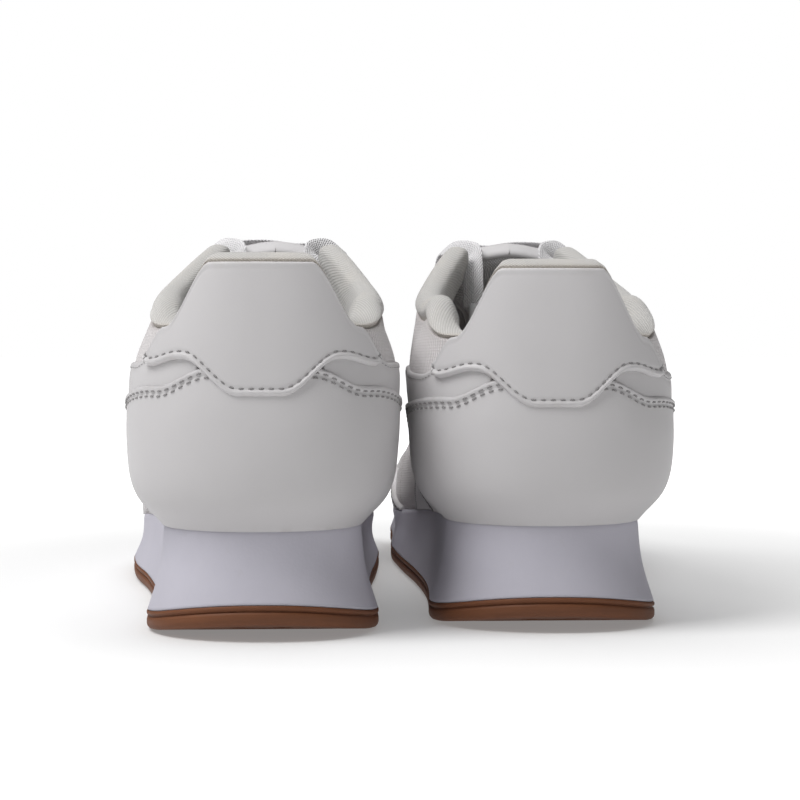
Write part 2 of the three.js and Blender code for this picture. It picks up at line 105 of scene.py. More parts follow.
HEELS = (0, HEEL_BACK, 0.06)
lamp("key_upper_left", (-0.62, -0.42, 1.05), HEELS, 12.5, 0.6)
lamp("fill_above", (0.0, 0.2, 1.3), (0, 0.1, 0.05), 8.0, 0.9)
ROOM_LIGHT, ROOM_SEEN = 0.16, 1.0
world = bpy.data.worlds.new("white_room")
world.use_nodes = True
room = world.node_tree.nodes["Background"]
room.inputs["Color"].default_value = (1, 1, 1, 1)
path = world.node_tree.nodes.new("ShaderNodeLightPath")
level = world.node_tree.nodes.new("ShaderNodeMapRange")
level.inputs["To Min"].default_value = ROOM_LIGHT
level.inputs["To Max"].default_value = ROOM_SEEN
world.node_tree.links.new(path.outputs["Is Camera Ray"], level.inputs["Value"])
world.node_tree.links.new(level.outputs["Result"], room.inputs["Strength"])
bpy.context.scene.world = world


# %% [markdown]
# ## A small language for finishes
# A material is a tree of nodes. `Value` wraps an output socket, so that shader maths reads as
# Python: `1 - mask * 0.3` adds the Math nodes. `Finish` holds one material and adds other nodes.

# %% Shader helpers
class Value:
    """A number or colour that varies over a surface."""

    def __init__(self, finish, socket):
        self.finish = finish
        self.socket = socket

    def math(self, operation, *others):
        return self.finish.node("ShaderNodeMath", {"operation": operation}, [self, *others])

    def __add__(self, other):
        return self.math("ADD", other)

    def __sub__(self, other):
        return self.math("SUBTRACT", other)

    def __mul__(self, other):
        return self.math("MULTIPLY", other)

    def __rsub__(self, other):
        return self.finish.node("ShaderNodeMath", {"operation": "SUBTRACT"}, [other, self])

    __radd__ = __add__
    __rmul__ = __mul__


class Finish:
    """One procedural material around a Principled shader."""

    def __init__(self, name, **constants):
        self.material = bpy.data.materials.new(name)
        self.material.use_nodes = True
        self.tree = self.material.node_tree
        self.shader = self.tree.nodes["Principled BSDF"]
        for socket, value in constants.items():
            self.shader.inputs[socket.replace("_", " ")].default_value = value

    def node(self, kind, settings=None, inputs=(), output=0):
        made = self.tree.nodes.new(kind)
        for name, value in (settings or {}).items():
            setattr(made, name, value)
        pairs = inputs.items() if isinstance(inputs, dict) else enumerate(inputs)
        for key, value in pairs:
            if isinstance(value, Value):
                self.tree.links.new(value.socket, made.inputs[key])
            else:
                made.inputs[key].default_value = value
        return Value(self, made.outputs[output])

    def place(self):
        """The point on the resting object, in metres."""
        return self.node("ShaderNodeTexCoord", output="Object")

    def cloth(self):
        """Millimetres along and up the cloth, stored on the mesh."""
        lay = self.node("ShaderNodeAttribute", {"attribute_name": "lay"}, output="Vector")
        return self.part(lay, 0), self.part(lay, 1)

    def grime_and_shade(self):
        """How much grime and painted shade a point gets, from 0 to 1, stored on the mesh."""
        return self.node("ShaderNodeAttribute", {"attribute_name": "grime_and_shade"}, output="Fac")

    def noise(self, where, scale, detail=2.0, rough=0.5):
        inputs = {"Vector": where, "Scale": scale, "Detail": detail, "Roughness": rough}
        return self.node("ShaderNodeTexNoise", {}, inputs)

    def cells(self, where, scale):
        return self.node("ShaderNodeTexVoronoi", {}, {"Vector": where, "Scale": scale})

    def ramp(self, value, low, high):
        """0 below low, 1 above high, smooth between."""
        settings = {"interpolation_type": "SMOOTHSTEP"}
        inputs = {"Value": value, "From Min": low, "From Max": high}
        return self.node("ShaderNodeMapRange", settings, inputs)

    def mix(self, factor, a, b):
        settings = {"data_type": "RGBA"}
        return self.node("ShaderNodeMix", settings, {0: factor, 6: a, 7: b}, output=2)

    def part(self, vector, axis):
        return self.node("ShaderNodeSeparateXYZ", {}, [vector], output=axis)

    def wave(self, value, period):
        """A sine from 0 to 1 that repeats every period."""
        return (value * (2 * math.pi / period)).math("SINE") * 0.5 + 0.5

    def link(self, socket, value):
        self.tree.links.new(value.socket, self.shader.inputs[socket])

    def done(self, color, rough, height, strength, distance):
        relief = {"Height": height, "Strength": strength, "Distance": distance}
        self.link("Base Color", color)
        self.link("Roughness", rough)
        self.link("Normal", self.node("ShaderNodeBump", {}, relief))
        return self.material


def tone(r, g=None, b=None):
    """A colour, or a grey when only one number is given."""
    return (r, r if g is None else g, r if b is None else b, 1.0)


# %% [markdown]
# ## Smooth synthetic leather
# The heel panels are coated leather: nearly smooth, a fine even grain that only shows in the
# highlights, slow clouds of tone where hands have rubbed it, and edges darkened partly by grime
# and partly by painted shade where the panels meet.

# %% Leather, mesh, linings
def smooth_leather():
    finish = Finish("smooth_leather", Specular_IOR_Level=0.42, Sheen_Weight=0.06)
    where = finish.place()
    clouds = finish.noise(where, 28.0, 4.0, 0.6)
    grain = finish.cells(where, 1500.0)
    pores = finish.noise(where, 2600.0, 2.0)
    soft = finish.noise(where, 90.0, 3.0)
    shade = finish.mix(clouds, tone(0.475, 0.462, 0.468), tone(0.535, 0.522, 0.527))
    # The edges darken: grime in patches, and painted shade where the panels meet.
    edge_grime_and_shade = finish.ramp(finish.noise(where, 160.0, 5.0, 0.7), 0.45, 0.75) * finish.grime_and_shade()
    shade = finish.mix(edge_grime_and_shade * 0.5, shade, tone(0.36, 0.33, 0.31))
    rough = 0.40 + clouds * 0.14 + pores * 0.05
    return finish.done(shade, rough, grain * 0.35 + pores * 0.4 + soft * 2.5, 0.28, 0.0001)


def ribbed_mesh():
    finish = Finish("ribbed_mesh", Specular_IOR_Level=0.25, Sheen_Weight=0.25)
    along, up = finish.cloth()
    rib = finish.wave(along, 1.15)
    knit = finish.wave(up, 0.9) * finish.wave(along, 0.575)
    clouds = finish.noise(finish.place(), 40.0, 3.0)
    valley = finish.mix(rib, tone(0.50, 0.475, 0.478), tone(0.66, 0.63, 0.632))
    color = finish.mix(clouds * 0.35, valley, tone(0.59, 0.565, 0.565))
    # Darker near the panel edges: grime, and painted shade where the mesh meets the sole and the other
    # layers.
    color = finish.mix(finish.grime_and_shade() * 0.4, color, tone(0.42, 0.38, 0.36))
    return finish.done(color, 0.74 + knit * 0.15, rib * 1.0 + knit * 0.45, 0.75, 0.00035)


def knit_lining(name="knit_lining", light=tone(0.64, 0.625, 0.605), dark=tone(0.43, 0.42, 0.405)):
    finish = Finish(name, Specular_IOR_Level=0.22, Sheen_Weight=0.35, Sheen_Roughness=0.5)
    along, up = finish.cloth()
    diagonal = finish.wave(along + up, 1.0)
    other = finish.wave(along - up, 1.0)
    lattice = diagonal * other
    fuzz = finish.noise(finish.place(), 1900.0, 3.0, 0.7)
    clouds = finish.noise(finish.place(), 60.0, 4.0, 0.6)
    color = finish.mix(finish.ramp(lattice + fuzz * 0.35, 0.1, 0.75), dark, light)
    color = finish.mix(finish.ramp(clouds, 0.45, 0.8) * 0.25, color, tone(0.66, 0.60, 0.53))
    # Darker where the mesh carries the grime and shade mark: on the collar roll this is painted shade
    # along its crease.
    color = finish.mix(finish.grime_and_shade() * 0.7, color, tone(0.46, 0.41, 0.35))
    return finish.done(color, 0.82 + fuzz * 0.12, lattice * 0.9 + fuzz * 0.8, 0.6, 0.0004)


# %% [markdown]
# ## Foam wedge and gum rubber
# Moulded EVA has a skin full of tiny dimples and picks up scuffs; the gum rubber is brown, slightly
# waxy, and dustier where it touches the floor.

# %% Sole finishes
def moulded_foam():
    finish = Finish("moulded_foam", Specular_IOR_Level=0.3)
    where = finish.place()
    dimples = finish.cells(where, 900.0)
    clouds = finish.noise(where, 35.0, 5.0, 0.6)
    scuffs = finish.ramp(finish.noise(where, 220.0, 6.0, 0.75), 0.58, 0.72)
    color = finish.mix(clouds, tone(0.46, 0.45, 0.51), tone(0.54, 0.525, 0.585))
    color = finish.mix(scuffs * 0.16, color, tone(0.40, 0.38, 0.38))
    # Where the mesh is marked the foam darkens nearly to black: grime, and painted shade under the upper.
    color = finish.mix(finish.grime_and_shade(), color, tone(0.16, 0.14, 0.14))
    return finish.done(color, 0.62 + clouds * 0.2, dimples * 0.5 + clouds * 0.8, 0.25, 0.0002)


def gum_rubber():
    finish = Finish("gum_rubber", Specular_IOR_Level=0.35)
    where = finish.place()
    clouds = finish.noise(where, 60.0, 5.0, 0.65)
    specks = finish.noise(where, 1400.0, 2.0)
    dust = finish.ramp(finish.noise(where, 300.0, 5.0, 0.7), 0.5, 0.75)
    color = finish.mix(clouds, tone(0.125, 0.042, 0.016), tone(0.20, 0.074, 0.030))
    color = finish.mix(dust * finish.grime_and_shade(), color, tone(0.26, 0.16, 0.10))
    return finish.done(color, 0.5 + clouds * 0.25, specks * 0.5 + clouds, 0.3, 0.0003)


def woven_tape():
    finish = Finish("woven_tape", Specular_IOR_Level=0.25, Sheen_Weight=0.25)
    along, up = finish.cloth()
    herringbone = finish.wave(along + up.math("ABSOLUTE") * 1.2, 1.1)
    warp = finish.wave(up, 0.7)
    fuzz = finish.noise(finish.place(), 2500.0, 2.0)
    color = finish.mix(herringbone * 0.6 + warp * 0.4, tone(0.60, 0.59, 0.60), tone(0.78, 0.77, 0.78))
    return finish.done(color, 0.7 + fuzz * 0.15, herringbone + warp * 0.6 + fuzz * 0.4, 0.7, 0.0003)


def thread_with_painted_shade():
    finish = Finish("thread_with_painted_shade", Specular_IOR_Level=0.3, Sheen_Weight=0.2)
    twist = finish.wave(finish.part(finish.place(), 0) + finish.part(finish.place(), 2), 0.0006)
    # The thread is coloured a darker grey than its own pale grey: painted shade, so the stitch rows show
    # as dark dashes.
    color = finish.mix(twist, tone(0.17, 0.165, 0.165), tone(0.31, 0.30, 0.30))
    return finish.done(color, 0.7 + twist * 0.1, twist, 0.4, 0.0001)


def plain_board(name, light, dark, scale):
    """Hidden stiffeners, foams and tips: a mottled matt stuff."""
    finish = Finish(name, Specular_IOR_Level=0.2)
    where = finish.place()
    fibre = finish.noise(where, scale, 5.0, 0.7)
    color = finish.mix(fibre, dark, light)
    return finish.done(color, 0.75 + fibre * 0.2, fibre, 0.4, 0.0002)


LEATHER = smooth_leather()
MESH = ribbed_mesh()
KNIT = knit_lining()
TONGUE_KNIT = knit_lining("tongue_knit", tone(0.66, 0.65, 0.66), tone(0.42, 0.42, 0.43))
FOAM_SKIN = moulded_foam()
GUM = gum_rubber()
TAPE = woven_tape()
THREAD = thread_with_painted_shade()
BOARD = plain_board("stiffener_board", tone(0.45, 0.38, 0.28), tone(0.33, 0.27, 0.19), 700.0)
PADDING = plain_board("padding_foam", tone(0.60, 0.53, 0.36), tone(0.48, 0.41, 0.27), 1100.0)
TIP = plain_board("aglet_plastic", tone(0.72, 0.72, 0.73), tone(0.62, 0.62, 0.63), 200.0)
FINISH_OF_SLOT = {
    "smooth_leather": LEATHER, "upper_mesh": MESH, "lining_textile": KNIT,
    "padding_foam": PADDING, "eva_foam": FOAM_SKIN, "gum_rubber": GUM,
    "stiffener_board": BOARD, "woven_tape": TAPE, "aglet_plastic": TIP,
}
for entry in frame["record"]["subparts"]:
    data = frame["nodes"][entry["node"]].data
    data.materials.clear()
    data.materials.append(FINISH_OF_SLOT[entry["material_slot"]])
SLOT_OF = {finish.name: slot for slot, finish in FINISH_OF_SLOT.items()}
SLOT_OF |= {"tongue_knit": "lining_textile", "thread_with_painted_shade": "woven_tape"}
print("finishes", len(SLOT_OF))

# %% Floor
floor_finish = Finish("pale_floor", Roughness=0.9, Specular_IOR_Level=0.1)
floor_tone = floor_finish.noise(floor_finish.place(), 3.0)
floor_finish.link("Base Color", floor_finish.mix(floor_tone, tone(0.60), tone(0.64)))
# Painted light: the floor glows, dim (0.22) within 0.13 m of the middle of the pair and full white from
# 0.5 m out, so it looks white far off while the shade round the soles stays dark.
FLOOR_GLOW_FROM, FLOOR_GLOW_FULL = 0.13, 0.5
spread_out = floor_finish.node("ShaderNodeVectorMath", {"operation": "LENGTH"},
                               [floor_finish.place()], output="Value")
painted_floor_light = floor_finish.mix(floor_finish.ramp(spread_out, FLOOR_GLOW_FROM, FLOOR_GLOW_FULL),
                        tone(0.22), tone(1.0))
floor_finish.link("Emission Color", painted_floor_light)
floor_finish.shader.inputs["Emission Strength"].default_value = 1.0
bpy.ops.mesh.primitive_plane_add(size=12, location=(0, 0, -0.0002))
floor = bpy.context.object
floor.name = "floor"
floor.data.materials.append(floor_finish.material)

# %% [markdown]
# ## The shape of the last
# A shoe is built round a last. Here the last is a table of a few profiles, from the sole edge up to
# the rim, at stations that run from the back of the heel (0) along a side (1 to 7) to the toe (8).
# Every panel is a patch on this one surface, so neighbours always meet. Lengths are millimetres.

# %% Last
STATION_Y = [36, 75, 115, 150, 185, 205, 235]
SPINE_X = [0, 1, 3, 5, 5.5, 4, 0]
# At each station, from the sole edge to the rim: distance from the spine and height.
UPPER = np.array([
    [[30, 30], [36, 41], [38, 56], [36, 76], [31, 105]],
    [[27, 30], [35.5, 41], [37.6, 56], [38.2, 75], [33, 90]],
    [[28, 28], [34.5, 38], [36.3, 52], [37.3, 73], [33.8, 94]],
    [[31, 25], [35, 34], [35, 52], [31, 81], [18, 111.6]],
    [[36, 22], [39, 30], [37, 48], [28, 72], [13, 93]],
    [[39.5, 19], [41.3, 27], [38, 44], [26, 62], [10, 73]],
    [[40, 18], [40.8, 26], [36.5, 41], [22, 56], [0, 63]],
    [[35, 19], [36, 27], [32, 38], [19, 49], [0, 52]],
    [[36, 22], [37, 30], [33, 38], [19, 47], [0, 52]],
], float)
LAST_SIDE = 7
TOE = 8
# How far the throat leans to the inner side at stations 0 to 8, at its full height.
LEAN_IN = [0, 1.8, 2.4, 5.5, 6.0, 3.5, 1.0, 0, 0]
LEAN_FROM, LEAN_FULL = 42, 112
# The throat closes in a round end between these stations.
THROAT_END = (5.0, 5.36)
HEEL_SQUARE = 2.25
TOE_SQUARE = 2.15
OUTSOLE_HALF = [36.3, 33.7, 33.4, 37, 41.8, 44.3, 42.5, 37.5, 40.5]
# Heights of the rim at the back, in the dip beside the tab and at the side. The last number lifts
# the surface beside the middle of the back, so that the tab's top edge runs level.
BACK_RIM = 105
COLLAR_DIP = 87
SIDE_RIM = 90
SQUARE_TOP = 4.0
# The right shoe's tab was set a little lower than the left one's.
SET_LOWER = {"left": 0.0, "right": 3.6}


def catmull_rom(a, b, c, d, u):
    """The curve from b to c, u from 0 to 1, with a before and d after them."""
    return b + 0.5 * u * (c - a + u * (2 * a - 5 * b + 4 * c - d + u * (3 * (b - c) + d - a)))


def spline(values, x, mirrored=False):
    """A Catmull-Rom curve through evenly spaced values."""
    values = np.asarray(values, float)
    before = values[1] if mirrored else 2 * values[0] - values[1]
    after = values[-2] if mirrored else 2 * values[-1] - values[-2]
    knots = np.concatenate([[before], values, [after]])
    x = np.asarray(x, float)
    i = np.clip(np.floor(x).astype(int), 0, len(values) - 2)
    return catmull_rom(*(knots[i + k] for k in range(4)), x - i)


def smooth(x, low, high):
    k = np.clip((np.asarray(x, float) - low) / (high - low), 0, 1)
    return k * k * (3 - 2 * k)


def turned(t):
    """Stations past the toe (8 to 16) come back along the inner side (-8 to 0)."""
    t = np.asarray(t, float)
    return np.where(t > TOE, t - 2 * TOE, t)


def middle_x(s, z):
    """Where the middle of the shoe is, for a station and a height."""
    lean = spline(LEAN_IN, s, True) * smooth(z, LEAN_FROM, LEAN_FULL)
    return spline(SPINE_X, np.clip(s, 1, LAST_SIDE) - 1) - lean


def place(t, rho, z):
    """The point rho out from the spine at station t; positive t is the outer side."""
    t, rho, z = np.broadcast_arrays(turned(t), rho, z)
    s = np.abs(t)
    along = np.clip(s, 1, LAST_SIDE) - 1
    angle = (np.minimum(s, 1) + np.maximum(s - LAST_SIDE, 0)) * math.pi / 2
    sine, cosine = np.abs(np.sin(angle)), np.cos(angle)
    n = np.where(s < 1, HEEL_SQUARE, TOE_SQUARE)
    r = rho * (np.abs(cosine) ** n + sine ** n) ** (-1 / n)
    x = middle_x(s, z) + np.where(t < 0, -1, 1) * r * sine
    return np.stack([x, spline(STATION_Y, along) - r * cosine, z + 0 * r], -1)


def profile(t, v):
    """Distance from the spine and height of the upper, v from 0 (sole) to 1 (rim)."""
    t, v = np.broadcast_arrays(turned(t), np.asarray(v, float))
    s = np.abs(t)
    knots = np.stack([[spline(UPPER[:, k, axis], s, True) for axis in (0, 1)] for k in range(5)])
    for axis in (0, 1):
        knots[4, axis] = np.where(s > LAST_SIDE, UPPER[LAST_SIDE, 4, axis], knots[4, axis])
    knots[4, 1] = knots[4, 1] + SQUARE_TOP * smooth(s, 0, 0.35) * (1 - smooth(s, 0.35, 0.9))
    narrow = smooth(s, *THROAT_END)
    knots[4, 0] = knots[4, 0] * (1 - narrow)
    knots[4, 1] = knots[4, 1] + 2.0 * narrow * (1 - smooth(s, THROAT_END[1], 6))
    first = 2 * knots[0] - knots[1]
    last = 2 * knots[4] - knots[3]
    closed = smooth(knots[4, 0], 8, 0)
    last[1] = last[1] * (1 - closed) + knots[3, 1] * closed
    chain = np.concatenate([first[None], knots, last[None]])
    i = np.clip(np.floor(v * 4).astype(int), 0, 3)
    near = [np.take_along_axis(chain, (i + k)[None, None], 0)[0] for k in range(4)]
    curve = catmull_rom(*near, v * 4 - i)
    return np.maximum(curve[0], 0), curve[1]


def upper(t, v):
    return place(t, *profile(t, v))


def reach(t, z):
    """The v at which the upper reaches height z."""
    t, z = np.broadcast_arrays(turned(t), np.asarray(z, float))
    low, high = np.zeros(t.shape), np.ones(t.shape)
    for _ in range(22):
        middle = (low + high) / 2
        under = profile(t, middle)[1] < z
        low, high = np.where(under, middle, low), np.where(under, high, middle)
    return (low + high) / 2


def sole_line(t):
    return profile(t, 0)[1]


def rim(t, lower=0.0):
    """Height of the rim: full at the back, dipping beside the heel tab."""
    s = np.abs(turned(t))
    own = profile(t, 1)[1]
    dip = COLLAR_DIP - 0.8 * lower
    dipped = BACK_RIM - 0.35 * lower - (BACK_RIM - 0.35 * lower - dip) * smooth(s, 0.275, 0.495)
    back_up = dipped + (SIDE_RIM - dip) * smooth(s, 0.58, 1)
    return np.where(s < 1, np.minimum(own, back_up), own)


print("last: widest heel", round(float(profile(0, 0.5)[0]), 1), "mm from its middle line")


# %% [markdown]
# ## From points to pieces
# A piece is a grid of points. Each copy of it belongs to one shoe: the left shoe is the mirror
# image of the right one, so a piece is made once and reflected with its faces turned back.

# %% Mesh helpers
def faces_of(rows, columns, ring_rows=False, ring_columns=False, offset=0):
    grid = np.arange(rows * columns).reshape(rows, columns) + offset
    if ring_rows:
        grid = np.vstack([grid, grid[:1]])
    if ring_columns:
        grid = np.hstack([grid, grid[:, :1]])
    quads = np.stack([grid[:-1, :-1], grid[1:, :-1], grid[1:, 1:], grid[:-1, 1:]], -1)
    return quads.reshape(-1, 4)


def end_caps(rows, columns):
    """The two faces that close a tube of rings."""
    return [list(range(columns)), list(range((rows - 1) * columns, rows * columns))]


def normals_of(points):
    """Outward normals of a grid whose rows run round the shoe and whose columns run up."""
    n = np.cross(np.gradient(points, axis=0), np.gradient(points, axis=1))
    size = np.linalg.norm(n, axis=-1, keepdims=True)
    return np.where(size < 1e-6, [0, 0, 1], n / np.maximum(size, 1e-6))


def lengths(points, axis):
    """Distance run along a grid's rows (axis 0) or columns (axis 1)."""
    step = np.linalg.norm(np.diff(points, axis=axis), axis=-1)
    pad = [(1, 0), (0, 0)] if axis == 0 else [(0, 0), (1, 0)]
    return np.cumsum(np.pad(step, pad), axis=axis)


def mesh_from(points, faces, lay=None, grime_and_shade=None):
    data = bpy.data.meshes.new("piece")
    corners = np.asarray(points).reshape(-1, 3) * MM
    data.from_pydata(corners.tolist(), [], [list(map(int, face)) for face in faces])
    if lay is not None:
        attribute = data.attributes.new("lay", "FLOAT_VECTOR", "POINT")
        attribute.data.foreach_set("vector", np.asarray(lay, np.float32).reshape(-1))
    if grime_and_shade is not None:
        attribute = data.attributes.new("grime_and_shade", "FLOAT", "POINT")
        attribute.data.foreach_set("value", np.asarray(grime_and_shade, np.float32).reshape(-1))
    shape = bmesh.new()
    shape.from_mesh(data)
    bmesh.ops.remove_doubles(shape, verts=shape.verts, dist=2e-6)
    bmesh.ops.recalc_face_normals(shape, faces=shape.faces)
    shape.to_mesh(data)
    shape.free()
    data.polygons.foreach_set("use_smooth", [True] * len(data.polygons))
    return data


def put(name, side, data, finish, part="shoe", replaces=None, fill=None):
    """Stands a piece in its shoe, on the body of that side and part.

    It takes the place of the CAD nodes in replaces, or else of the node with its own name.
    """
    data.name = name
    if side == "left":
        data.transform(Matrix.Scale(-1, 4, (1, 0, 0)))
        data.flip_normals()
    data.transform(Matrix.Translation(PLACE[side]))
    data.materials.append(finish)
    item = bpy.data.objects.new(f"{name}_{side}_look", data)
    bpy.context.scene.collection.objects.link(item)
    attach(item, f"{side}_{part}")
    nodes = [name] if replaces is None else replaces
    if nodes:
        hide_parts(*[f"{node}_{side}" for node in nodes])
    print(item.name, len(data.vertices), "points")
    return item


def pair(name, data, *args, **options):
    """One piece for each shoe: the left one is the mirror image."""
    return [put(name, side, data.copy(), *args, **options) for side in SIDES]


# %% [markdown]
# ## Panels
# A panel is cut from sheet a millimetre or so thick. Its grid is close near the edges, where the
# cut edge rolls over, and each edge can carry a bead: the raised welt between edge and stitches.

# %% Panel
NEAR = np.array([0, 0.12, 0.35, 0.7, 1.1, 1.6, 2.1, 2.6, 3.1, 3.7, 4.6])
WELT_AT, WELT_HALF = 1.0, 0.65
GROOVE_AT, GROOVE_HALF = 2.15, 0.45
# How round a panel's cut edge is, and how far in from it the grime and painted shade fade, in mm.
EDGE_RADIUS, GRIME_AND_SHADE_REACH = 0.7, 1.2
# How far a panel's hidden back is pressed into the layer below.
SUNK = 0.15


def spread(length, spacing):
    """Distances from 0 to length, close at both ends."""
    near = NEAR * min(1, length / (2 * NEAR[-1] + spacing))
    middle = length - 2 * near[-1]
    count = max(int(middle / spacing), 1)
    inner = near[-1] + middle * np.arange(1, count) / count
    return np.concatenate([near, inner, (length - near)[::-1]])


def stations(start, stop, spacing=1.6, height=55):
    """Stations from start to stop, close at the ends."""
    fine = np.linspace(start, stop, 900)
    run = lengths(place(fine, profile(fine, reach(fine, height))[0], height)[:, None], 0)[:, 0]
    return np.interp(spread(run[-1], spacing), run, fine)


def rounded(distance, radius):
    k = np.clip(distance / radius, 0, 1)
    return np.sqrt(1 - (1 - k) ** 2)


def welt(distance):
    bead = np.exp(-(((distance - WELT_AT) / WELT_HALF) ** 2))
    return bead - 0.75 * np.exp(-(((distance - GROOVE_AT) / GROOVE_HALF) ** 2))


class Panel:
    """A sheet on the last between the heights low(t) and high(t).

    Its underside is base off the last and it is thick mm thick. The four welts and the four
    distances in away belong to the low, high, start and stop edges. From the station closes on,
    the high edge is joined to the other half instead of cut.
    """

    def __init__(self, ts, low, high, base, thick, welts=(0,) * 4, spacing=1.6, puff=0, closes=None):
        v_low, v_high = reach(ts, low(ts)), reach(ts, high(ts))
        fine = v_low[:, None] + (v_high - v_low)[:, None] * np.linspace(0, 1, 140)
        run = lengths(upper(ts[:, None], fine), 1)
        total = run[:, -1]
        pattern = spread(np.median(total), spacing)
        share = pattern / pattern[-1]
        up = np.array([self._rows(share, length) for length in total])
        v = np.array([np.interp(up[i], run[i], fine[i]) for i in range(len(ts))])
        skin = upper(ts[:, None], v)
        self.normals = normals_of(skin)
        along = lengths(skin, 0)
        self.away = [up, total[:, None] - up, along, along[-1:] - along]
        self.closed = np.zeros(len(ts), bool)
        if closes:
            self.closed = np.abs(turned(ts)) >= closes
            self.away[1] = self.away[1] + 50 * smooth(np.abs(turned(ts)), closes - 0.25, closes)[:, None]
            self.normals[self.closed, -1, 0] = 0
        edge = np.minimum.reduce(self.away)
        height = base + thick * rounded(edge, EDGE_RADIUS) + puff * smooth(edge, 2.5, 12)
        for size, distance in zip(welts, self.away):
            height = height + size * welt(distance) * smooth(edge, 0, 0.6)
        self.points = skin + self.normals * height[..., None]
        self.back = skin + self.normals * (base - SUNK)
        self.edge = edge
        self.lay = np.stack([along, up, edge], -1)

    def _rows(self, share, length):
        """Keeps the close rows at both edges whatever the panel's own height is."""
        near = NEAR[-1] * min(1, length / (2 * NEAR[-1] + 1))
        count = len(NEAR)
        low = NEAR / NEAR[-1] * near
        middle = share[count:-count]
        span = (middle - share[count - 1]) / (share[-count] - share[count - 1])
        return np.concatenate([low, near + span * (length - 2 * near), (length - low)[::-1]])

    def mesh(self):
        rows, columns = self.edge.shape
        front = faces_of(rows, columns)
        rear = faces_of(rows, columns, offset=rows * columns)[:, ::-1]
        ids = np.arange(rows * columns).reshape(rows, columns)
        rims = np.concatenate([ids[:, 0], ids[-1, 1:], ids[-2::-1, -1], ids[0, -2::-1]])
        joined = set(ids[self.closed, -1].tolist())
        free = [not (a in joined and b in joined) for a, b in zip(rims[:-1], rims[1:])]
        a, b = rims[:-1][free], rims[1:][free]
        walls = np.stack([b, a, a + rows * columns, b + rows * columns], -1)
        points = np.concatenate([self.points.reshape(-1, 3), self.back.reshape(-1, 3)])
        lay = np.concatenate([self.lay.reshape(-1, 3)] * 2)
        # Near its edges the panel is marked for grime, and for painted shade where the panels meet.
        edge_grime_and_shade = np.exp(-self.edge / GRIME_AND_SHADE_REACH)
        grime_and_shade = np.concatenate([edge_grime_and_shade.reshape(-1)] * 2)
        return mesh_from(points, np.concatenate([front, rear, walls]), lay, grime_and_shade)

    def trace(self, edge, distance):
        """The line at a distance from edge 0 (low), 1 (high), 2 (start) or 3 (stop)."""
        away = self.away[edge]
        across = edge >= 2
        line = []
        count = away.shape[1] if across else away.shape[0]
        for k in range(count):
            track = away[:, k] if across else away[k]
            spots = self.points[:, k] if across else self.points[k]
            ways = self.normals[:, k] if across else self.normals[k]
            order = np.argsort(track)
            mix = [np.interp(distance, track[order], c[order]) for c in (*spots.T, *ways.T)]
            line.append(mix)
        return np.array(line)


# %% [markdown]
# ## Stitches
# A lockstitch shows as short thread arches that dive into the panel at both ends. Each stitch is a
# small tapered tube of real geometry, so the rows catch the light and throw their own shadows.

# %% Stitches
STITCH_PITCH = 2.75
STITCH_LENGTH = 1.8
THREAD_RADIUS = 0.3
RING = 6
# Along one stitch: where its six rings are, how thick they are, and how high they stand.
STITCH_SHARES = np.array([-0.5, -0.38, -0.15, 0.15, 0.38, 0.5])
STITCH_SIZES = np.array([0.3, 0.9, 1.0, 1.0, 0.9, 0.3])
STITCH_LIFTS = np.array([-1.3, -0.1, 0.45, 0.45, -0.1, -1.3])
stitches = {side: [] for side in SIDES}


def sew(line, sides=SIDES, pitch=STITCH_PITCH, length=STITCH_LENGTH, radius=THREAD_RADIUS):
    """Adds a row of stitches along a line of points with normals."""
    points, ways = line[:, :3], line[:, 3:]
    run = np.concatenate([[0], np.cumsum(np.linalg.norm(np.diff(points, axis=0), axis=1))])
    centres = np.arange(pitch * 0.6, run[-1] - pitch * 0.4, pitch)
    at = lambda x, field: np.stack([np.interp(x, run, c) for c in field.T], -1)
    sizes, lifts = radius * STITCH_SIZES, radius * STITCH_LIFTS
    turns = np.arange(RING) * 2 * math.pi / RING
    for centre in centres:
        spots = at(centre + STITCH_SHARES * length, points)
        normal = at(centre + STITCH_SHARES * length, ways)
        normal /= np.linalg.norm(normal, axis=1, keepdims=True)
        run_way = np.gradient(spots, axis=0)
        run_way /= np.linalg.norm(run_way, axis=1, keepdims=True)
        across = np.cross(run_way, normal)
        spots = spots + normal * lifts[:, None]
        ring = spots[:, None] + sizes[:, None, None] * (
            across[:, None] * np.cos(turns)[None, :, None]
            + normal[:, None] * np.sin(turns)[None, :, None]
        )
        for side in sides:
            stitches[side].append(ring)


def stitch_mesh(rings):
    points, faces = [], []
    for ring in rings:
        first = len(points) * 6 * RING
        points.append(ring.reshape(-1, 3))
        faces += faces_of(6, RING, ring_columns=True, offset=first).tolist()
        faces.append(list(range(first, first + RING)))
        faces.append(list(range(first + 5 * RING, first + 6 * RING))[::-1])
    return mesh_from(np.concatenate(points), faces)


# %% [markdown]
# ## The smooth panels round the heel
# Three layers overlap like roof tiles: a side panel on the mesh, the foxing that cups the heel on
# top of it, and the tab on top of both, with a wavy lower edge. Each is one Panel, laid a little
# further out than the one it covers, so the steps between them are real.

# %% Edges of the heel panels
TAB_END = 0.62
FOXING_END = 2.46
SIDE_END = 3.85
# Heights of the tab's lower edge, its wave and corner, and of the tops of the layers beside it.
TAB_BOTTOM, TAB_WAVE, TAB_CORNER = 67.8, 10.2, 2.0
FOXING_TOP, FOXING_FALL = 76, 38
SIDE_TOP, SIDE_FALL = 80, 51
# How far each layer's underside is laid off the last, and how thick it is.
TAB_LAYER = (1.25, 1.05)
FOXING_LAYER = (0.6, 0.95)
SIDE_LAYER = (0.05, 0.85)
BAND_LAYER = (0.1, 1.3)
EYESTAY_LAYER = (0.1, 1.4)
MESH_LAYER = (-1.5, 1.5)


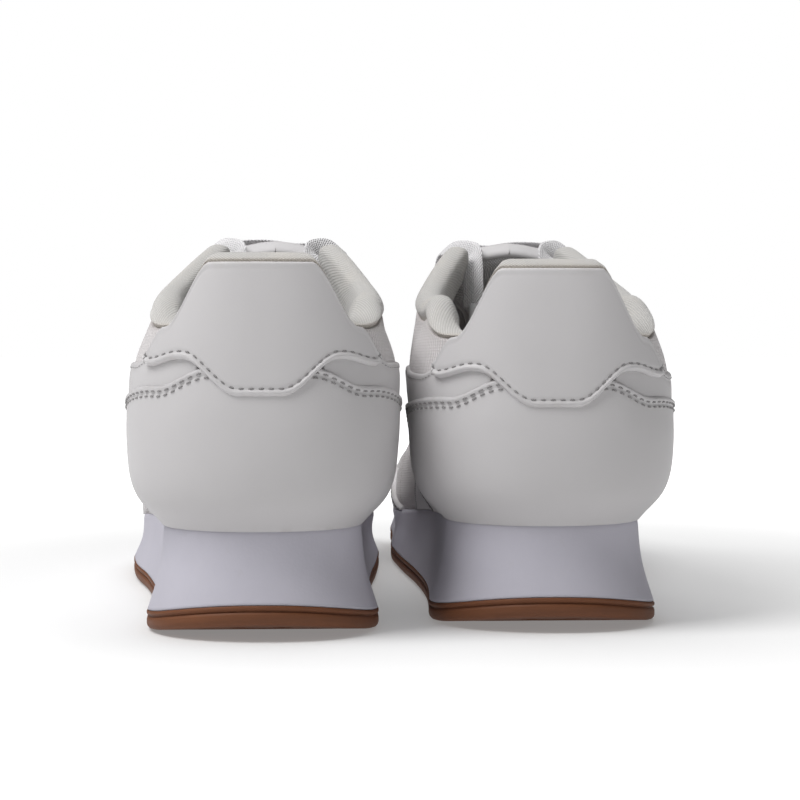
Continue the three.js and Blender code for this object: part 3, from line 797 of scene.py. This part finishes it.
def tab_low(t, lower):
    s = np.abs(t)
    wave = TAB_BOTTOM + TAB_WAVE * smooth(s, 0.10, 0.375) - TAB_CORNER * smooth(s, 0.40, 0.57)
    return wave - lower + 1.2 * smooth(s, 0.57, TAB_END) ** 2


def tab_high(t, lower):
    s = np.abs(t)
    return rim(t, lower) - 8.0 * smooth(s, 0.51, TAB_END + 0.01)


def foxing_high(t, lower):
    s = np.abs(t)
    beside_tab = FOXING_TOP - lower - 5.2 * smooth(s, 0.25, 0.5)
    dipped = beside_tab - (5.0 - 0.6 * lower) * smooth(s, 0.55, 1.1)
    return dipped - FOXING_FALL * smooth(s, 1.3, 2.55)


def side_low(t, lower):
    return np.maximum(foxing_high(t, lower) - 5, sole_line(t) + 0.6)


def side_high(t, lower):
    s = np.abs(t)
    under_tab = SIDE_TOP - lower - 3.0 * smooth(s, 0.55, 0.74)
    return under_tab + 0.6 * lower * smooth(s, 0.7, 1.4) - SIDE_FALL * smooth(s, 1.4, 4.0)


# %% Heel panels
def both_ways(fine_start, fine_stop, **options):
    """The stations of a panel on the outer side and on the inner side."""
    outer = stations(fine_start, fine_stop, **options)
    return {"lateral": outer, "medial": -outer[::-1]}


FINE_ROW = {"pitch": 1.7, "length": 1.2, "radius": 0.13}
for side in SIDES:
    low = SET_LOWER[side]
    at = lambda edge: lambda t: edge(t, low)
    tab = Panel(stations(-TAB_END, TAB_END, 1.2, 84), at(tab_low), at(tab_high), *TAB_LAYER,
                welts=(0.5, 0.12, 0.25, 0.25), spacing=1.2)
    foxing = Panel(stations(-FOXING_END, FOXING_END, 1.5, 55), lambda t: sole_line(t) + 0.6,
                   at(foxing_high), *FOXING_LAYER, welts=(0, 0.36, 0, 0), spacing=1.5, puff=0.5)
    put("heel_tab", side, tab.mesh(), LEATHER)
    put("heel_foxing", side, foxing.mesh(), LEATHER)
    sew(tab.trace(0, GROOVE_AT), [side])
    for distance in (1.7, 3.1):
        sew(foxing.trace(1, distance), [side])
    for edge in (2, 3):
        sew(tab.trace(edge, 1.2), [side], **FINE_ROW)
    for way, ts in both_ways(0.3, SIDE_END).items():
        panel = Panel(ts, at(side_low), at(side_high), *SIDE_LAYER, welts=(0, 0.15, 0, 0))
        put(f"side_panel_{way}", side, panel.mesh(), LEATHER)
        sew(panel.trace(1, 1.6), [side], **FINE_ROW)
    for way, ts in both_ways(0.004, 5.0, spacing=2.0).items():
        tucked = lambda t: rim(t, low) - 4 * (1 - smooth(np.abs(t), 0.3, 0.5))
        panel = Panel(ts, sole_line, tucked, *MESH_LAYER, spacing=2.0)
        put(f"quarter_{way}", side, panel.mesh(), MESH)

# %% [markdown]
# ## Mesh sides and toe
# The sides and the vamp over the toes are one layer of ribbed mesh on the last, and smooth bands
# strengthen it where it wears: round the toe, and along the throat where the lace pulls.

# %% Vamp, toe band and eyestays
TOE_WAY = 2 * TOE
rim_line = lambda t: profile(t, 1)[1]
vamp = Panel(stations(5.0, TOE_WAY - 5.0, 2.0, 30), sole_line, rim_line, *MESH_LAYER, spacing=2.0,
             closes=THROAT_END[1])
pair("vamp", vamp.mesh(), MESH)
band_v = lambda t: 0.07 + 0.30 * smooth(np.abs(turned(t)), 4.9, 6.4)
band = Panel(stations(4.9, TOE_WAY - 4.9, 1.6, 30), lambda t: profile(t, 0.02)[1],
             lambda t: profile(t, band_v(t))[1], *BAND_LAYER, welts=(0, 0.3, 0, 0))
pair("toe_overlay", band.mesh(), LEATHER)
for distance in (1.75, 3.2):
    sew(band.trace(1, distance))
EYESTAY_SPAN = (2.6, 5.345)
EYESTAY_LOW_V = 0.82
for way, ts in both_ways(*EYESTAY_SPAN).items():
    panel = Panel(ts, lambda t: profile(t, EYESTAY_LOW_V)[1], rim_line, *EYESTAY_LAYER,
                  welts=(0.25, 0.25, 0.25, 0.25))
    pair(f"eyestay_{way}", panel.mesh(), LEATHER)
    for edge in (0, 1):
        sew(panel.trace(edge, 1.8), pitch=2.2, length=1.6, radius=0.2)


# %% [markdown]
# ## Sole
# The wedge of foam and the outsole are swept: one profile is carried round the whole shoe, from the
# middle of the underside out to the wall, up it, and back in along the top.

# %% Sweep round the shoe
ROUND = stations(0, TOE_WAY, 1.8, 32)[:-1]
HEEL_BEVEL_Y, HEEL_LIFT = 35, 5
SPRING_Y, SPRING, TOE_END_Y = 205, 12, 275
OUTSOLE_THICK = 5.3


def ground(y):
    heel = np.clip((HEEL_BEVEL_Y - y) / HEEL_BEVEL_Y, 0, 1)
    toe = np.clip((y - SPRING_Y) / (TOE_END_Y - SPRING_Y), 0, 1)
    return HEEL_LIFT * heel**2 + SPRING * toe**2


def outsole_half(t):
    return spline(OUTSOLE_HALF, np.abs(turned(t)), True)


def last_half(t):
    return profile(t, 0)[0]


def swept(columns):
    """A closed body from columns of points; its knit, if any, runs with the floor plan."""
    points = np.stack(columns, 1)
    return mesh_from(points, faces_of(*points.shape[:2], ring_rows=True), points)


def disc(edge, height, shares):
    """Columns of points from the middle line out to the edge, or back."""
    found = []
    for share in shares:
        flat = place(ROUND, edge(ROUND) * share, 0)
        flat[:, 2] = height(flat, share)
        found.append(flat)
    return found


# %% Outsole
TREAD_DEPTH = 1.6
TREAD_PITCH = 9.0


def tread(points, share):
    """Underside height: chevron grooves inside a smooth rim."""
    x, y = points[:, 0], points[:, 1]
    wave = np.sin((y + 0.55 * np.abs(x)) * 2 * math.pi / TREAD_PITCH)
    groove = smooth(wave, 0.55, 0.8) * (1 - smooth(share, 0.80, 0.86))
    return ground(y) + TREAD_DEPTH * groove


def outsole_columns():
    columns = disc(lambda t: outsole_half(t) - 1.6, tread, np.linspace(0, 1, 34))
    wall = [(-0.7, 0.25), (-0.2, 0.8), (0, 1.5), (0, 2.6), (-0.15, 3.3), (-0.75, 3.55),
            (-0.8, 3.9), (-0.15, 4.15), (0, 4.5), (0, 4.9), (-0.4, OUTSOLE_THICK)]
    for out, up in wall:
        flat = place(ROUND, outsole_half(ROUND) + out, 0)
        flat[:, 2] = ground(flat[:, 1]) + up
        columns.append(flat)
    top = lambda points, share: ground(points[:, 1]) + OUTSOLE_THICK
    return columns + disc(lambda t: outsole_half(t) - 0.4, top, np.linspace(0.97, 0, 12))


pair("outsole", swept(outsole_columns()), GUM)

# %% Midsole
FOAM_GAP = 0.05
LIP = 1.6


def midsole_columns():
    low = lambda points, share: ground(points[:, 1]) + OUTSOLE_THICK + FOAM_GAP
    foot = lambda t: outsole_half(t) - 0.9
    columns = disc(foot, low, np.linspace(0, 1, 10))
    base, crown = outsole_half(ROUND) - 0.2, last_half(ROUND) + LIP
    top = sole_line(ROUND) - 0.3
    bottom = ground(place(ROUND, base, 0)[:, 1]) + OUTSOLE_THICK + FOAM_GAP
    for share in np.concatenate([[0.01, 0.04], np.linspace(0.1, 0.86, 12), [0.92, 0.97]]):
        hollow = 1.1 * math.sin(math.pi * share) ** 1.2
        rho = base + (crown - base) * share - hollow
        columns.append(place(ROUND, rho, bottom + (top - bottom) * share))
    for inset, lift in ((0.1, 0.35), (0.45, 0.75), (1.1, 0.95), (1.9, 0.85)):
        columns.append(place(ROUND, crown - inset, top + lift))
    inner = lambda points, share: top + 0.2
    return columns + disc(lambda t: last_half(t) - 1.0, inner, np.linspace(1, 0, 8))


pair("midsole", swept(midsole_columns()), FOAM_SKIN)

# %% Sockliner
SOCK_LIFT = 2.4
SOCK_THICK = 3.8


def sockliner_columns():
    under = lambda points, share: sole_line(ROUND) + SOCK_LIFT
    cup = lambda points, share: sole_line(ROUND) + SOCK_LIFT + SOCK_THICK - 1.4 * (1 - share**3)
    columns = disc(lambda t: last_half(t) - 4.2, under, np.linspace(0, 1, 8))
    columns += disc(lambda t: last_half(t) - 3.7, lambda p, k: sole_line(ROUND) + 4.2, [1.0])
    return columns + disc(lambda t: last_half(t) - 4.2, cup, np.linspace(1, 0, 16))


pair("sockliner", swept(sockliner_columns()), KNIT, fill=0.5)


# %% [markdown]
# ## Padded collar
# The collar is a foam roll wrapped in knit. It is a ring of smooth cross-sections: hidden behind the
# mesh outside, bulging over its edge, and running down inside as the lining.

# %% Collar roll
ROLL_END = 2.76
ROLL_RING = 84


def loop_through(controls, count):
    """A smooth closed curve through controls of shape (rows, points, 2)."""
    size = controls.shape[1]
    x = np.arange(count) * size / count
    i = np.floor(x).astype(int)
    near = (controls[:, (i + k) % size] for k in (-1, 0, 1, 2))
    return catmull_rom(*near, (x - i)[None, :, None])


def inside(t, z, out, top):
    """The point out mm beyond the face of the quarter, at height z, even above its rim."""
    return place(t, profile(t, reach(t, np.minimum(z, top)))[0] + out, z)


def roll_controls(t, top):
    """Points round the roll's section: distance beyond the quarter's face, and height."""
    s = np.abs(t)
    high = 3.0 - 1.5 * smooth(s, 0.34, 0.47) + 5.3 * smooth(s, 0.5, 1.0)
    high = high - smooth(s, 2.0, ROLL_END)
    behind_tab = 1 - smooth(s, 0.3, 0.5)
    bulge = 1.2 * behind_tab + 0.3 * smooth(s, 0.5, 0.95)
    deep = 10.2 - 2.2 * smooth(s, 1.6, 2.6)
    floor_z = 40 + 0 * s
    rows = [
        (-4.9 + 0 * s, floor_z), (-4.4 + 0 * s, top - 24), (-2.4 + 0 * s, top - 12),
        (-2.0 + 3.0 * behind_tab, top - 3), (bulge - 0.9 * (1 - behind_tab), top + 0.1),
        (bulge, top + 0.42 * high), (bulge * 0.5 - 2.2, top + 0.9 * high),
        (-5.2 + 0 * s, top + high),
        (-8.0 + 0 * s, top + 0.72 * high), (-deep, top - 1.5), (-deep - 0.3, top - 7),
        (-deep + 1.6, top - 15), (-7.0 + 0 * s, top - 24), (-6.3 + 0 * s, floor_z),
    ]
    return np.stack([np.stack(row, -1) for row in rows], 1)


def collar_roll(lower):
    ts = stations(-ROLL_END, ROLL_END, 1.5, 84)
    top = rim(ts, lower)
    ring = loop_through(roll_controls(ts, top), ROLL_RING)
    ends = rounded(np.minimum(np.arange(len(ts)), np.arange(len(ts))[::-1]) + 0.15, 9)
    middle = ring.mean(1, keepdims=True)
    ring = middle + (ring - middle) * (0.25 + 0.75 * ends[:, None, None])
    points = inside(ts[:, None], ring[..., 1], ring[..., 0], top[:, None])
    around = np.cumsum(np.linalg.norm(np.diff(points, axis=1, append=points[:, :1]), axis=-1), 1)
    along = lengths(points[:, 30:31], 0)
    lay = np.stack([along + 0 * around, around, 0 * around], -1)
    # Painted shade: the knit darkens in a thin line round the roll's outer face, at the height of the
    # quarter's rim where the roll bulges over it.
    painted_crease_shade = np.exp(-((ring[..., 1] - top[:, None] - 0.3) / 0.9) ** 2) * (ring[..., 0] > -4)
    faces = faces_of(*points.shape[:2], ring_columns=True)
    caps = end_caps(points.shape[0], ROLL_RING)
    return mesh_from(points, faces.tolist() + caps, lay, painted_crease_shade)


for side in SIDES:
    put("collar_roll", side, collar_roll(SET_LOWER[side]), KNIT,
        replaces=["collar_lining", "collar_foam"], fill=0.75)


# %% [markdown]
# ## Tongue
# The tongue is a pad under the lace: a knit-covered foam with a smooth shell on its upper face, and
# a folded tape over its top edge. It follows an arch across the throat and rises above the collar.

# %% Tongue surface
TONGUE_ROOT, TONGUE_TOP = 4.98, 3.05
TONGUE_RISE = 3.4
LEAN = -4 / 6


def tongue_arch(t, w, rise):
    """The face of the tongue: w runs from -1, the inner edge, to 1; rise lifts it past the throat."""
    t, w, rise = np.broadcast_arrays(t, w, rise)
    half, top = profile(t, 1)
    rho, z = [np.zeros(t.shape)], [top + 0.3]
    rho.append(0.4 * half)
    z.append(top - 0.6)
    wider = 4.4 * smooth(-t, -3.6, -3.1)
    for v in (1, 0.96, 0.92):
        r, h = profile(t, v)
        rho.append(r - 5 + wider)
        z.append(h - 3.6)
    x = np.abs(w) * 4
    i = np.clip(np.floor(x).astype(int), 0, 3)
    found = []
    for values in (np.array(rho), np.array(z)):
        chain = np.concatenate([values[1:2], values, 2 * values[4:5] - values[3:4]])
        near = (np.take_along_axis(chain, (i + k)[None], 0)[0] for k in range(4))
        found.append(catmull_rom(*near, x - i))
    spine_x = middle_x(t, top)
    spine_y = spline(STATION_Y, t - 1)
    return np.stack([spine_x + np.sign(w) * found[0], spine_y + LEAN * rise, found[1] + rise], -1)


def tongue_rows(top_rise):
    """Stations and rises from the root to the top edge."""
    ts = np.linspace(TONGUE_ROOT, TONGUE_TOP, 48)
    rises = np.linspace(0, top_rise, 9)[1:]
    return np.concatenate([ts, np.full(8, TONGUE_TOP)]), np.concatenate([0 * ts, rises])


def tongue_body(outer, inner, top_rise, edge=1.0, root=0):
    """A closed pad between two depths below the face of the tongue."""
    ts, rises = tongue_rows(top_rise)
    ts, rises = ts[root:], rises[root:]
    w = np.sin(np.linspace(-1, 1, 41) * math.pi / 2) * edge
    face = tongue_arch(ts[:, None], w[None], rises[:, None])
    ways = normals_of(face)
    run = lengths(face[:, 20:21], 0)
    to_top = run[-1:] - run
    across = lengths(face, 1)
    to_edge = np.minimum(across, across[:, -1:] - across)
    plump = rounded(to_edge + 0.02, 3.2) * rounded(to_top + 0.3, 3.0) * rounded(run + 1.0, 14)
    middle, half = (outer + inner) / 2, (outer - inner) / 2
    upper_face = face + ways * (middle + half * plump)[..., None]
    lower_face = (face + ways * (middle - half * plump)[..., None])[:, ::-1]
    points = np.concatenate([upper_face, lower_face], 1)
    lay = np.stack([np.concatenate([across, across[:, ::-1]], 1),
                    np.concatenate([run + 0 * across] * 2, 1), 0 * np.concatenate([across] * 2, 1)], -1)
    rows, columns = points.shape[:2]
    faces = faces_of(rows, columns, ring_columns=True).tolist()
    return mesh_from(points, faces + end_caps(rows, columns), lay)


def tube_along(line, ways, wide, deep, power=2.0, count=14):
    """A closed tube: an oval of half sizes wide and deep carried along a line."""
    run = np.gradient(line, axis=0)
    run /= np.linalg.norm(run, axis=1, keepdims=True)
    ways = ways - run * (ways * run).sum(1, keepdims=True)
    ways /= np.linalg.norm(ways, axis=1, keepdims=True)
    side = np.cross(run, ways)
    turn = np.arange(count) * 2 * math.pi / count
    shape = lambda f: np.sign(f) * np.abs(f) ** (2 / power)
    a, b = shape(np.cos(turn)), shape(np.sin(turn))
    points = line[:, None] + side[:, None] * (wide * a)[..., None] + ways[:, None] * (deep * b)[..., None]
    travelled = lengths(line[:, None], 0) + np.zeros(count)
    lay = np.stack([travelled, wide * a + 0 * travelled, 0 * travelled], -1)
    faces = faces_of(len(line), count, ring_columns=True).tolist()
    return points, faces + end_caps(len(line), count), lay


# %% Tongue pieces
pair("tongue_pad", tongue_body(-1.3, -7.4, TONGUE_RISE, 0.98, 6), TONGUE_KNIT, "tongue",
     ["tongue_foam", "tongue_lining"], fill=0.65)
pair("tongue_shell", tongue_body(0.2, -1.4, TONGUE_RISE - 0.5), LEATHER, "tongue")
BINDING_HALF, BINDING_STEPS = 0.86, 60


def binding():
    w = np.linspace(-BINDING_HALF, BINDING_HALF, BINDING_STEPS)
    line = tongue_arch(TONGUE_TOP, w, TONGUE_RISE - 0.2)
    lower = tongue_arch(TONGUE_TOP, w, TONGUE_RISE - 3)
    ways = line - lower
    across = np.cross(np.gradient(line, axis=0), ways)
    across /= np.linalg.norm(across, axis=1, keepdims=True)
    across *= np.sign(across[:, 1:2])
    line = line - across * 3.4
    step = np.arange(BINDING_STEPS)
    ends = rounded(np.minimum(step, step[::-1]) + 0.5, 6)[:, None]
    points, faces, lay = tube_along(line, across, 1.5 * ends, 3.6 * ends, 2.6, 20)
    return mesh_from(points, faces, lay)


pair("tongue_binding", binding(), LEATHER, "tongue")
# Stations of the first and last eyelet. The keeper lies between the last two, and this is the
# share of the tongue's half width that it takes.
FIRST_EYELET, LAST_EYELET = 4.95, 3.12
KEEPER_HALF = 0.34


def lace_keeper():
    t = (FIRST_EYELET + 4 * LAST_EYELET) / 5 + 0.03
    ts = np.linspace(t + 0.09, t - 0.09, 8)
    w = np.linspace(-KEEPER_HALF, KEEPER_HALF, 18)
    face = tongue_arch(ts[:, None], w[None], 0)
    lift = 1.0 + 0.7 * np.cos(w / KEEPER_HALF * math.pi / 2)[None, :, None]
    ways = normals_of(face)
    top, under = face + ways * lift, face + ways * (lift - 0.8)
    points = np.concatenate([top, under[:, ::-1]], 1)
    across = lengths(points, 1)
    lay = np.stack([across, lengths(points[:, :1], 0) + 0 * across, 0 * across], -1)
    faces = faces_of(*points.shape[:2], ring_columns=True).tolist()
    return mesh_from(points, faces + end_caps(*points.shape[:2]), lay)


pair("lace_keeper", lace_keeper(), TAPE, "tongue")

# %% [markdown]
# ## Lace
# One flat woven lace crosses over the tongue from eyelet to eyelet and its ends are tucked inside.
# Each run is a flat oval tube on a smooth line that dives into the eyestay at both ends. A plastic
# aglet caps each tucked end, and the rows of stitches gathered above become one mesh per shoe.

# %% Lace runs
EYELETS = 6
EYELET_V = 0.93
LACE_HALF, LACE_DEEP = 3.5, 0.65
RIBBON_STEPS = 9
# How high the lace rides over the edge of the throat, and how far from the middle it is tucked.
RIDE = 4.2
TUCK = 12.6
HOLE_OUT, HOLE_DOWN = 2.4, 4.2


def surface_normal(t, v):
    d = 0.02
    run = upper(t + d, v) - upper(t - d, v)
    rise = upper(t, v + d) - upper(t, v - d)
    way = np.cross(run, rise)
    return way / np.linalg.norm(way)


def throat_normal(t):
    d = 0.05
    run = np.array([0, spline(STATION_Y, t + d - 1) - spline(STATION_Y, t - d - 1),
                    profile(t + d, 1)[1] - profile(t - d, 1)[1]])
    way = np.cross([1, 0, 0], run)
    return way / np.linalg.norm(way)


def eyelet(index, side):
    t = side * (FIRST_EYELET + (LAST_EYELET - FIRST_EYELET) * index / (EYELETS - 1))
    way = surface_normal(t, EYELET_V)
    return {"t": t, "way": way, "spot": upper(t, EYELET_V) + way * RIDE * 0.75}


def over_edge(t):
    way = surface_normal(t, 0.96)
    return {"way": way, "spot": upper(t, 1.0) + way * RIDE}


def hole(end):
    """Where the lace goes down through the eyestay."""
    outward = end["spot"] - over_edge(end["t"])["spot"]
    outward /= np.linalg.norm(outward)
    spot = end["spot"] + outward * HOLE_OUT - end["way"] * HOLE_DOWN
    return {"way": outward + end["way"] * 0.3, "spot": spot}


def crossing(start, stop, rise):
    t = (abs(start["t"]) + abs(stop["t"])) / 2
    near = lambda end: math.copysign(0.7 * abs(end["t"]) + 0.3 * t, end["t"])
    top = float(profile(t, 1)[1])
    crown = [float(middle_x(t, top)), float(spline(STATION_Y, t - 1)), top + RIDE + rise]
    middle = {"way": throat_normal(t), "spot": np.array(crown)}
    return [hole(start), start, over_edge(near(start)), middle, over_edge(near(stop)), stop, hole(stop)]


def end_facing(side):
    """The way the flat of a tucked end faces: back, and a little outwards and up."""
    return np.array([0.3 * side, -1, 0.2])


def tucked_end(side):
    edge = over_edge(side * 3.06)
    backwards = end_facing(side)
    x = float(middle_x(3.1, 110))
    stops = [hole(eyelet(EYELETS - 1, side)), eyelet(EYELETS - 1, side), edge]
    for share, y, z in ((0.4, 110, 112.6), (0.9, 105.5, 109), (1, 103, 102), (1, 102, 94)):
        way = edge["way"] * (1 - share) + backwards * share
        stops.append({"way": way / np.linalg.norm(way), "spot": np.array([x + side * TUCK, y, z])})
    return stops


def ribbon(stops):
    count = len(stops) - 1
    x = np.linspace(0, count, count * RIBBON_STEPS + 1)
    line = np.stack([spline([s["spot"][k] for s in stops], x) for k in range(3)], -1)
    ways = np.stack([spline([s["way"][k] for s in stops], x) for k in range(3)], -1)
    return tube_along(line, ways, LACE_HALF, LACE_DEEP, 2.8, 16)


def lace():
    runs = [crossing(eyelet(0, -1), eyelet(0, 1), 0)]
    for side in (-1, 1):
        for k in range(EYELETS - 1):
            runs.append(crossing(eyelet(k, side), eyelet(k + 1, -side), 0 if side > 0 else 1.6))
        runs.append(tucked_end(side))
    points, faces, lays, first = [], [], [], 0
    for stops in runs:
        p, f, l = ribbon(stops)
        points.append(p.reshape(-1, 3))
        lays.append(l.reshape(-1, 3))
        faces += [[i + first for i in face] for face in f]
        first += len(points[-1])
    return mesh_from(np.concatenate(points), faces, np.concatenate(lays))


pair("lace", lace(), TAPE)

# %% Aglets
AGLET_LONG, AGLET_HALF, AGLET_DEEP = 13.0, 1.7, 1.2
AGLET_OVERLAP = 1.5
AGLET_RINGS = 14
AGLET_HANG = np.array([0, -0.5, -1.0])
share = np.linspace(0, 1, AGLET_RINGS)
slim = (rounded(share + 0.02, 0.1) * rounded(1.02 - share, 0.1) * (1 - 0.15 * share))[:, None]
for name, side in (("aglet_lateral", 1), ("aglet_medial", -1)):
    end = tucked_end(side)[-1]["spot"]
    line = end + AGLET_HANG * (share[:, None] * AGLET_LONG - AGLET_OVERLAP)
    ways = np.tile(end_facing(side), (AGLET_RINGS, 1))
    points, faces, lay = tube_along(line, ways, AGLET_HALF * slim, AGLET_DEEP * slim)
    pair(name, mesh_from(points, faces, lay), TIP)

# %% Stitching
for side in SIDES:
    put("stitching", side, stitch_mesh(stitches[side]), THREAD, replaces=[])
